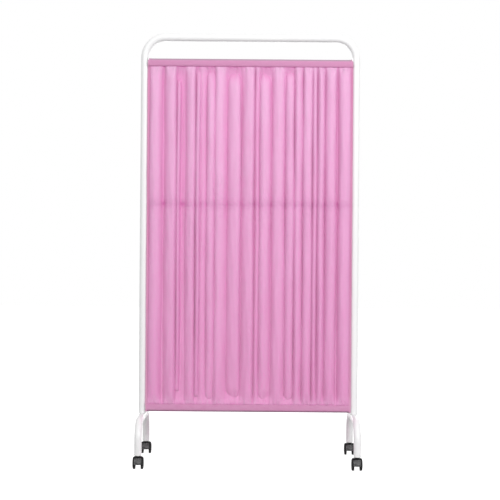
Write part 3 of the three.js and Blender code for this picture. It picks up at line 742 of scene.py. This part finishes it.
def pocket_line(rod_z, up, seam_y):
    """The cloth's way round a rod in (y, z), from its raw edge behind the seam to the seam in front,
    before which it hangs almost straight."""
    radius = CLOTH_HIGH.z - TOP_ROD_Z - CLOTH_THICKNESS / 2
    behind = seam_y + LAYER_PITCH * CLOTH_THICKNESS
    seam_z = rod_z - up * POCKET_DROP
    points = [(behind, seam_z - up * SEAM_TAIL * share) for share in TAIL_SHARES]
    start = math.acos(radius / math.hypot(POCKET_DROP, behind - ROD_Y)) - math.pi / 2
    angles = np.linspace(start, math.pi, POCKET_STEPS)
    wrap = [(ROD_Y + radius * math.cos(angle), rod_z + up * radius * math.sin(angle)) for angle in angles]
    for share in (0.3, 0.6, 0.85):
        points.append((behind + (wrap[0][0] - behind) * share, seam_z + (wrap[0][1] - seam_z) * share))
    points += wrap
    for share in (0.25, 0.5, 0.75, 1.0):
        points.append((ROD_Y - radius + FLANK_LEAN * share ** 2, rod_z - up * FLANK_DROP * share))
    flank = np.array(points[-1])
    bend = np.array((flank[0] + 0.001, seam_z + up * 0.0006))
    for share in (0.25, 0.5, 0.75):
        near = flank + (bend - flank) * share
        far = bend + (np.array((seam_y, seam_z)) - bend) * share
        points.append(tuple(near + (far - near) * share))
    return np.array(points)


def end_reach(line, rod_z, up):
    """Half the sleeve's width along its line, less beside a bracket and post than in front of them."""
    y, above = line[:, 0], up * (line[:, 1] - rod_z)
    ahead, ahead_blend, rise, rise_blend = 0.0005, 0.001, 0.006, 0.003
    share = np.clip((ROD_Y - ahead - y) / ahead_blend, 0, 1)
    if up > 0:
        share = share * np.clip((rise - above) / rise_blend, 0, 1)
    return SEAM_HALF + (CLOTH_WIDTH / 2 - SEAM_HALF) * share


def before_brackets(sleeve, rod_z, up):
    """Moves what lies beyond the brackets' inner faces in front of them."""
    beyond = np.clip((np.abs(sleeve[..., 0]) - SEAM_HALF) / SIDE_BLEND + 1, 0, 1)
    margin, blend = 0.0015, 0.001
    beside = np.clip((up * (sleeve[..., 2] - rod_z) + BRACKET_HALF + margin) / blend, 0, 1)
    front = np.minimum(sleeve[..., 1], BRACKET_LOW.y - BRACKET_CLEARANCE)
    sleeve[..., 1] += (front - sleeve[..., 1]) * beyond * beside


def sleeve_points(rod_z, up, seam_y, shares, near_seam):
    """A pocket round its rod. Its tail follows the rows of the body that it lies behind."""
    line = pocket_line(rod_z, up, seam_y)
    sleeve = np.empty((len(line), len(shares), 3))
    sleeve[..., 0] = (2 * shares[None, :] - 1) * end_reach(line, rod_z, up)[:, None]
    sleeve[..., 1:] = line[:, None, :]
    pitch, fade = 0.013, 0.006
    at_seam = np.exp(-np.abs(line[:, 1] - (rod_z - up * POCKET_DROP)) / fade)[:, None]
    sleeve[..., 1] += SEAM_PUCKER * np.sin(2 * math.pi * sleeve[..., 0] / pitch) * at_seam
    thickness = np.where(near_side(shares, HEM_REACH), HEM_THICKNESS, CLOTH_THICKNESS)
    for row, share in enumerate(TAIL_SHARES):
        at = SEAM_TAIL * share / SEAM_ROW_PITCH
        first = int(at)
        between = near_seam[first] + (near_seam[first + 1] - near_seam[first]) * (at - first)
        slope = np.gradient(between, shares * CLOTH_WIDTH)
        sleeve[row, :, 1] = between + LAYER_PITCH * thickness * np.sqrt(1 + slope ** 2)
    before_brackets(sleeve, rod_z, up)
    return sleeve


def cloth_grid(shares):
    """The cloth's middle surface from tail to tail, how near each point is to a ridge, and the numbers of
    rows in a sleeve and in the body."""
    drops = body_drops()
    from_seam = np.minimum(drops, BODY_HEIGHT - drops)
    gathered = 1 - (1 - np.clip(from_seam / GATHER_REACH, 0, 1)) ** 2
    forward = fold_heights(shares, drops)
    seam_y = np.where(drops < BODY_HEIGHT / 2, TOP_SEAM_Y, LOW_SEAM_Y)[:, None]
    body_y = seam_y + (VALLEY_Y - forward - seam_y) * gathered[:, None] + ripples(shares, drops)
    body = np.empty((len(drops), len(shares), 3))
    body[..., 0] = (2 * shares[None, :] - 1) * CLOTH_WIDTH / 2
    body[..., 1] = body_y
    body[..., 2] = (TOP_SEAM_Z - drops)[:, None]
    top = sleeve_points(TOP_ROD_Z, 1, TOP_SEAM_Y, shares, body_y)
    bottom = sleeve_points(BOTTOM_ROD_Z, -1, LOW_SEAM_Y, shares, body_y[::-1])
    sleeve_ridge = np.full(top.shape[:2], SLEEVE_RIDGE)
    ridge = np.concatenate([sleeve_ridge, np.clip(forward / RIDGE_HEIGHT, 0, 1), sleeve_ridge])
    return np.concatenate([top, body, bottom[::-1]]), ridge, len(top), len(drops)


def distances(points, axis):
    """Running length along one direction of a grid of points."""
    steps = np.linalg.norm(np.diff(points, axis=axis), axis=-1)
    start = np.zeros_like(np.take(steps, [0], axis=axis))
    return np.cumsum(np.concatenate([start, steps], axis=axis), axis=axis)


def store(data, field, values):
    data.foreach_set(field, values.astype(np.float32).ravel())


def add_curtain():
    shares = cloth_shares()
    points, ridge, sleeve_rows, body_rows = cloth_grid(shares)
    rows, columns = points.shape[:2]
    mesh = new_mesh("curtain_cloth", points, grid_faces(rows, columns, False, False))
    across = distances(points, 1)[sleeve_rows + body_rows // 2]
    along = distances(points, 0).mean(axis=1)
    threads = np.stack(np.broadcast_arrays(across - across[-1] / 2, along[:, None]), axis=-1).reshape(-1, 2)
    corners = np.empty(len(mesh.loops), np.int32)
    mesh.loops.foreach_get("vertex_index", corners)
    store(mesh.uv_layers.new(name="weave").data, "uv", threads[corners])
    mesh.shade_smooth()
    in_hem = near_side(shares, HEM_REACH)
    tail = np.abs(np.arange(rows) - (rows - 1) / 2) > (body_rows - 1) / 2
    at_edge = near_side(shares, HEM_WIDTH / 2)
    layers = np.maximum(tail[:, None] * 1.0, in_hem[None, :] * 1.0) + at_edge[None, :] * 1.0
    for name, values in (("layers", layers), ("ridge", ridge)):
        store(mesh.attributes.new(name, "FLOAT", "POINT").data, "value", values)
    curtain = piece("curtain_cloth", mesh, "pink_cloth", "curtain")
    thin = curtain.vertex_groups.new(name="thickness")
    for column in range(columns):
        members = list(range(column, rows * columns, columns))
        thin.add(members, 1.0 if in_hem[column] else CLOTH_THICKNESS / HEM_THICKNESS, "REPLACE")
    thicken = curtain.modifiers.new("thickness", "SOLIDIFY")
    thicken.thickness = HEM_THICKNESS
    thicken.offset = 0
    thicken.vertex_group = thin.name
    finished = evaluated(curtain)
    curtain.modifiers.clear()
    curtain.data = finished
    sewing = stitch_mesh(points, sleeve_rows, body_rows, shares)
    stitches = piece("curtain_stitches", sewing, "pink_cloth", material=thread())


def stitch_mesh(points, sleeve_rows, body_rows, shares):
    """Stitches along both seams and both side hems, lying on the cloth's front."""
    hem_line = int(np.argmin(np.abs(shares * CLOTH_WIDTH - HEM_STITCHES)))
    forward = np.array([0, -1.0, 0])
    lines = [points[row] for row in (sleeve_rows, sleeve_rows + body_rows - 1)]
    body = points[sleeve_rows + 1:sleeve_rows + body_rows - 1]
    lines += [body[:, column] for column in (hem_line, len(shares) - 1 - hem_line)]
    centres, ways = [], []
    for line in lines:
        length = np.concatenate([[0], np.cumsum(np.linalg.norm(np.diff(line, axis=0), axis=1))])
        at = np.arange(STITCH_PITCH, length[-1] - STITCH_PITCH, STITCH_PITCH)
        places, ahead = [np.stack([np.interp(at + further, length, line[:, k]) for k in range(3)], axis=-1)
                         for further in (0, STITCH_LENGTH / 2)]
        way = ahead - places
        ways.append(way / np.linalg.norm(way, axis=1)[:, None])
        centres.append(places + forward * STITCH_LIFT)
    centres = np.concatenate(centres)
    ways = np.concatenate(ways)
    first = np.cross(ways, forward)
    first /= np.linalg.norm(first, axis=1)[:, None]
    second = np.cross(ways, first)
    vertices, faces = [], []
    count = len(STITCH_STATIONS)
    pattern = np.array(grid_faces(count, STITCH_SIDES, False, True))
    for number, (centre, way, one, two) in enumerate(zip(centres, ways, first, second)):
        for along, size in STITCH_STATIONS:
            for angle in around(STITCH_SIDES):
                side = one * math.cos(angle) + two * math.sin(angle)
                vertices.append(centre + way * along * STITCH_LENGTH + side * size * STITCH_RADIUS)
        base = number * count * STITCH_SIDES
        faces += (pattern + base).tolist()
        for start in (base, base + (count - 1) * STITCH_SIDES):
            faces.append([start + k for k in range(STITCH_SIDES)])
    return tidy(new_mesh("curtain_stitches", vertices, faces), weld=1e-9)


# Frame, feet and rods
def add_frame():
    corners = [(-POST_X, POST_Y, TUBE_LOW.z), (-POST_X, POST_Y, BAR_Z),
               (POST_X, POST_Y, BAR_Z), (POST_X, POST_Y, TUBE_LOW.z)]
    tube = tube_mesh(bent_path(corners, CORNER_RADIUS), (0, 1, 0), POST_RADIUS, POST_WALL)
    piece("frame_tube_painted", tube, "white_paint", "frame_tube")


def straight_tube(low, high):
    """A thin-walled tube along X that fills a box."""
    centre = (low + high) / 2
    stations = [(Vector((x, centre.y, centre.z)), Vector((1, 0, 0))) for x in (low.x, high.x)]
    return tube_mesh(stations, (0, 1, 0), (high.z - low.z) / 2, THIN_WALL, 40)


def cylinder(radius, low, high, axis, sides):
    """A cylinder between two places along an axis."""
    return turned_mesh([(0, low), (radius, low), (radius, high), (0, high)], axis, sides)


def post_space(x):
    """The space that a post takes, to shape what meets it."""
    return moved(cylinder(POST_RADIUS + GAP, TUBE_LOW.z, TUBE_HIGH.z, "z", 96), (x, POST_Y, 0))


def add_rail():
    rail = straight_tube(RAIL_LOW, RAIL_HIGH)
    for x in (-POST_X, POST_X):
        rail = combined(rail, post_space(x), "DIFFERENCE")
    piece("middle_rail_tube", rail, "white_paint", "middle_rail")


def add_rods():
    for label, up in (("top", 1), ("bottom", -1)):
        rod = f"curtain_rod_{label}"
        low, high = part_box(rod)
        piece(f"{rod}_tube", straight_tube(low, high), "white_paint", rod)
        centre_z = (low.z + high.z) / 2
        for side in ("left", "right"):
            add_plug(f"rod_plug_{label}_{side}", side, centre_z)
            add_bracket(f"rod_bracket_{label}_{side}", side, up, centre_z)


def add_plug(node, side, z):
    """A rod's end plug: body in the rod, flange at its end and a pin into the bracket."""
    low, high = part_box(node)
    length = high.x - low.x
    pin, flange, pin_length, body = 0.004, 0.002, 0.005, ROD_RADIUS - 0.0017
    neck = length - pin_length
    profile = [(0, 0), (body, 0), (body, neck - flange), (ROD_RADIUS, neck - flange),
               (ROD_RADIUS, neck), (pin, neck), (pin, length), (0, length)]
    mesh = lathe(profile, [0, 0.0006, 0.0001, 0.0005, 0.0007, 0.0003, 0.0008, 0], "x", 40)
    if side == "right":
        mesh = moved(mesh, (low.x, ROD_Y, z))
    else:
        mesh = mirrored(moved(mesh, (-high.x, ROD_Y, z)))
    piece(f"{node}_moulded", mesh, "white_plastic", node)


def add_bracket(node, side, up, z):
    """A bracket with a slot that opens upwards (up = 1) or downwards (up = -1), shaped to its post."""
    low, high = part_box(node)
    half = (high.y - low.y) / 2
    rise = (high.z - low.z) - half
    slot = 0.0043
    outline = [(-half, rise), *arc(half, 180, 360, 25), (half, rise),
               (slot, rise), *arc(slot, 0, -180, 17), (-slot, rise)]
    inner_x, way = (low.x, 1) if side == "right" else (high.x, -1)
    bm = plate([(inner_x, ROD_Y + y, z + up * above) for y, above in outline], way * (high.x - low.x))
    bmesh.ops.recalc_face_normals(bm, faces=bm.faces)
    edges = [edge for edge in bm.edges if edge.calc_face_angle() > math.radians(50)]
    bmesh.ops.bevel(bm, geom=edges, offset=0.0005, segments=2, affect="EDGES", clamp_overlap=True)
    mesh = combined(mesh_of(bm), post_space(way * POST_X), "DIFFERENCE")
    piece(f"{node}_plate", mesh, "white_paint", node)


def add_feet():
    front, rear = FOOT_LOW.y + LEG_RADIUS, FOOT_HIGH.y - LEG_RADIUS
    inner, start = SPIGOT_RADIUS - 0.002, CROWN_Z + 0.0135
    profile = [(inner, start), (SPIGOT_RADIUS, start), (SPIGOT_RADIUS, FOOT_HIGH.z), (inner, FOOT_HIGH.z)]
    for side, x in (("left", -POST_X), ("right", POST_X)):
        corners = [(x, front, FOOT_LOW.z), (x, front, CROWN_Z), (x, rear, CROWN_Z), (x, rear, FOOT_LOW.z)]
        arch = tube_mesh(bent_path(corners, FOOT_BEND_RADIUS), (1, 0, 0), LEG_RADIUS, POST_WALL)
        spigot = moved(lathe(profile, 0.0005, "z", 56), (x, POST_Y, 0))
        piece(f"foot_{side}_painted", combined(arch, spigot, "UNION"), "white_paint", f"foot_{side}")
        piece(f"foot_{side}_weld", moved(weld_mesh(), (x, POST_Y, CROWN_Z)), "white_paint")
        add_foot_screw(f"foot_screw_{side}")


def weld_mesh():
    """The rippled weld bead between a spigot and the round crown that it stands on."""
    rings = []
    for a in around(96):
        z = math.sqrt(LEG_RADIUS ** 2 - (SPIGOT_RADIUS * math.cos(a)) ** 2)
        bead = 0.0004 + 0.0016 * abs(math.cos(a)) ** 1.5 * (1 + 0.12 * math.sin(24 * a))
        ring = []
        for b in around(12):
            out = SPIGOT_RADIUS + bead * math.cos(b)
            ring.append((out * math.cos(a), out * math.sin(a), z - bead + bead * math.sin(b)))
        rings.append(ring)
    return solid_from_grid(np.array(rings))


def add_foot_screw(node):
    """A button-head screw with a hexagon socket."""
    low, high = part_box(node)
    centre = (low + high) / 2
    head, shank, head_height = (high.x - low.x) / 2, 0.003, 0.0033
    seat = high.y - low.y - head_height
    top = seat + head_height
    profile = [(0, 0), (shank, 0), (shank, seat), (head, seat), (head, seat + 0.001),
               (head * 0.7, top), (0, top)]
    screw = lathe(profile, [0, 0.0006, 0, 0.0003, 0.001, 0.0012, 0], "y", 40)
    socket = cylinder(0.0023, seat + 0.0012, seat + 0.006, "y", 6)
    screw = combined(screw, socket, "DIFFERENCE")
    piece(f"{node}_plated", moved(screw, (centre.x, low.y, centre.z)), "steel", node)


# Castors
def hood_mesh():
    """The crowned shell over the wheels, with a raised panel on its face."""
    half = HOOD_WIDTH / 2
    rim = HOOD_OUTER - HOOD_CROWN
    inner = rim - 0.0005
    panel_start, panel_stop, panel_half = 104, 182, half * 0.72
    across = half * np.sin(np.linspace(-math.pi / 2, math.pi / 2, 41))
    along = np.concatenate([across, across[::-1]])
    crown = rim + HOOD_CROWN * np.clip(1 - np.abs(across / half) ** 1.7, 0, 1) ** 0.9
    first, last = math.radians(HOOD_ANGLES[0]), math.radians(HOOD_ANGLES[1])
    lip = 0.0008 / rim
    ends = [(first, -0.0009), (first + 0.35 * lip, -0.0004), (first + lip, -0.0001)]
    ends += [(angle, 0) for angle in np.linspace(first + 2 * lip, last - 2 * lip, 88)]
    ends += [(last - lip, -0.0001), (last - 0.35 * lip, -0.0004), (last, -0.0009)]
    rows = []
    for angle, shrink in ends:
        degrees = math.degrees(angle)
        face = np.clip((degrees - panel_start) / 6, 0, 1) * np.clip((panel_stop - degrees) / 5, 0, 1)
        panel = PANEL_HEIGHT * face * np.clip((panel_half - np.abs(across)) / 0.0012, 0, 1)
        outer = np.maximum(crown + shrink - PANEL_HEIGHT + panel, inner + 0.0004)
        radius = np.concatenate([outer, np.full(across.shape, inner)])
        rows.append(np.stack([along, radius * math.cos(angle), radius * math.sin(angle)], axis=-1))
    columns = len(along)
    faces = grid_faces(len(rows), columns, False, True)
    for start in (0, (len(rows) - 1) * columns):
        for k in range(columns // 2 - 1):
            across_from = start + columns - 2 - k
            faces.append([start + k, start + k + 1, across_from, across_from + 1])
    return tidy(new_mesh("hood", rows, faces))


def web_mesh():
    """The plate between the wheels that joins hood and axle boss."""
    outline = [(0.0, 0.0), *arc(HOOD_OUTER - HOOD_CROWN, *HOOD_ANGLES, 40)]
    return tidy(mesh_of(plate([(-WEB_THICKNESS / 2, y, z) for y, z in outline], WEB_THICKNESS)))


def lit_grained_top():
    """Height of the upper edge of the hood's grained, painted-lighter face at its middle."""
    return WHEEL_RADIUS + HOOD_OUTER * math.sin(math.radians(LIT_GRAINED_ANGLES[0]))


def housing_mesh():
    """Hood, web, axle boss and stem boss as one body, drawn about the stem's axis."""
    neck, boss_length, neck_depth = 0.0043, 0.024, 0.0196
    end, wall = 0.0112, 0.0055
    top = HOUSING_HIGH.z
    low = top - boss_length
    axle_boss = lathe([(AXLE_BORE, -end), (wall, -end), (wall, end), (AXLE_BORE, end)], 0.0004, "x", 36)
    profile = [(neck, low), (STEM_BOSS, low), (STEM_BOSS, lit_grained_top()), (STEM_BOSS, top), (neck, top)]
    stem_boss = lathe(profile, [0, 0.0005, 0, 0.0022, 0.0004], "z", 48)
    body = combined(hood_mesh(), web_mesh(), "UNION")
    body = combined(body, axle_boss, "UNION")
    body = combined(body, cylinder(AXLE_BORE, -0.03, 0.03, "x", 36), "DIFFERENCE")
    body = combined(moved(body, (0, CASTOR_TRAIL, WHEEL_RADIUS)), stem_boss, "UNION")
    return combined(body, cylinder(neck, top - neck_depth, top + 0.004, "z", 48), "DIFFERENCE")


def wheel_mesh():
    """A wheel with a domed and stepped outer face, drawn from the gap's middle to +X."""
    inner = WHEEL_GAP / 2
    face = inner + WHEEL_WIDTH
    blind = face - 0.0025
    rim = WHEEL_RADIUS - TREAD_THICKNESS
    lip = rim - 0.003
    shoulder = inner + TREAD_WIDTH
    recess = inner + 0.004
    hub = 0.007
    dome = []
    for angle in np.linspace(0.03, 0.985, 26) * math.pi / 2:
        radius = rim * math.cos(angle)
        height = shoulder + (face - shoulder) * math.sin(angle) ** 0.8
        groove = 0.0005 * math.exp(-((radius - rim * 0.66) / 0.0006) ** 2)
        step = 0.0004 if 0.0062 < radius < 0.0072 else 0
        dome.append((radius, height - groove - step))
    profile = [(0, blind), (AXLE_BORE, blind), (AXLE_BORE, inner), (hub, inner), (hub, recess),
               (lip, recess), (lip, inner), (rim, inner), (rim, shoulder)]
    radii = [0, 0.0003, 0.0003, 0.0006, 0.0006, 0.0006, 0.0006, 0.0005, 0]
    profile = filleted(profile, radii, closed=False)
    return turned_mesh(profile + dome + [(0, face)], "x", 72)


def tread_mesh():
    """The rubber tread, slightly crowned, with a moulding seam at its middle."""
    bore = WHEEL_RADIUS - TREAD_THICKNESS + GAP
    edge = WHEEL_RADIUS - 0.0003
    start = WHEEL_GAP / 2 + GAP / 2
    stop = WHEEL_GAP / 2 + TREAD_WIDTH - GAP / 2
    middle, seam = (start + stop) / 2, 0.0006
    profile = [(bore, start), (edge, start), (WHEEL_RADIUS, middle - seam),
               (WHEEL_RADIUS, middle + seam), (edge, stop), (bore, stop)]
    return lathe(profile, [0.0002, 0.0012, 0.0004, 0.0004, 0.0012, 0.0002], "x", 96)


def stem_mesh():
    """A pin in the housing, a collar over it and a shank in the leg's socket."""
    low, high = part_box("front_left_castor_stem")
    pin, collar, shank = 0.004, 0.007, 0.0055
    collar_low = HOUSING_HIGH.z + GAP
    collar_high = collar_low + 0.0015
    profile = [(0, low.z), (pin, low.z), (pin, collar_low), (collar, collar_low),
               (collar, collar_high), (shank, collar_high), (shank, high.z), (0, high.z)]
    return lathe(profile, [0, 0.0005, 0.0002, 0.0004, 0.0004, 0.0002, 0.0015, 0], "z", 40)


def socket_mesh():
    """A flange under the leg's end and a body inside it."""
    low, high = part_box("front_left_leg_socket")
    bore, body, flange_top = 0.0058, LEG_RADIUS - POST_WALL - GAP, low.z + 0.003
    profile = [(bore, low.z), (LEG_RADIUS, low.z), (LEG_RADIUS, flange_top),
               (body, flange_top), (body, high.z), (bore, high.z)]
    return lathe(profile, [0.0004, 0.0009, 0.0003, 0.0002, 0.001, 0.0004], "z", 56)


def axle_mesh():
    low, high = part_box("front_left_castor_axle")
    half = (high.x - low.x) / 2
    return lathe([(0, -half), (0.003, -half), (0.003, half), (0, half)], [0, 0.0005, 0.0005, 0], "x", 32)


def add_castors():
    housing, stem, socket, axle = housing_mesh(), stem_mesh(), socket_mesh(), axle_mesh()
    rolling = (("wheel", wheel_mesh(), "black_nylon"), ("tread", tread_mesh(), "tread_rubber"))
    paint_hood(housing)
    for corner in ("front_left", "front_right", "rear_left", "rear_right"):
        castor = f"{corner}_castor"
        low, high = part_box(f"{castor}_stem")
        place = ((low.x + high.x) / 2, (low.y + high.y) / 2, 0)
        hub = (place[0], place[1] + CASTOR_TRAIL, WHEEL_RADIUS)
        piece(f"{corner}_socket_moulded", socket, "white_plastic", f"{corner}_leg_socket", place=place)
        piece(f"{corner}_stem_plated", stem, "steel", f"{castor}_stem", place=place)
        piece(f"{castor}_hood", housing, "black_nylon", f"{castor}_housing", castor, place)
        piece(f"{castor}_pin", axle, "steel", f"{castor}_axle", castor, hub)
        for side in ("left", "right"):
            for kind, mesh, slot in rolling:
                node = f"{castor}_{side}_{kind}"
                mesh = mesh if side == "right" else mirrored(mesh)
                piece(f"{node}_moulded", mesh, slot, node, f"{corner}_{side}_wheel", hub)


def paint_hood(mesh):
    """Gives the hood's front face the grained finish, painted lighter as if lit, and the rest the satin one.
    """
    mesh.materials.clear()
    mesh.materials.append(FINISHES["black_nylon"])
    mesh.materials.append(lit_hood_nylon())
    for polygon in mesh.polygons:
        x, y, z = polygon.center
        back, above = y - CASTOR_TRAIL, z - WHEEL_RADIUS
        outer = math.hypot(back, above) > HOOD_OUTER - HOOD_CROWN
        if math.hypot(x, y) > STEM_BOSS + 0.0001:
            angle = math.degrees(math.atan2(above, back)) % 360
            grained = outer and LIT_GRAINED_ANGLES[0] < angle < LIT_GRAINED_ANGLES[1]
        else:
            grained = outer and y < 0 and z < lit_grained_top()
        # Index 1 is the grained nylon, painted lighter as if lit.
        polygon.material_index = 1 if grained else 0


add_camera()
add_world(light_level=0.56)
add_area_light("key", (2.5, -3.7, 3.0), width=1.1, height=1.4, power=84)
add_area_light("front", (-0.6, -4.2, 3.6), width=3.2, height=2.0, power=72)
add_area_light("back", (0.3, 3.4, 1.5), width=2.4, height=2.4, power=48)
add_floor(half_width=14, grey=0.48, seen_level=0.9)
bpy.context.scene.view_settings.view_transform = "Standard"

add_curtain()
add_frame()
add_rail()
add_rods()
add_feet()
add_castors()
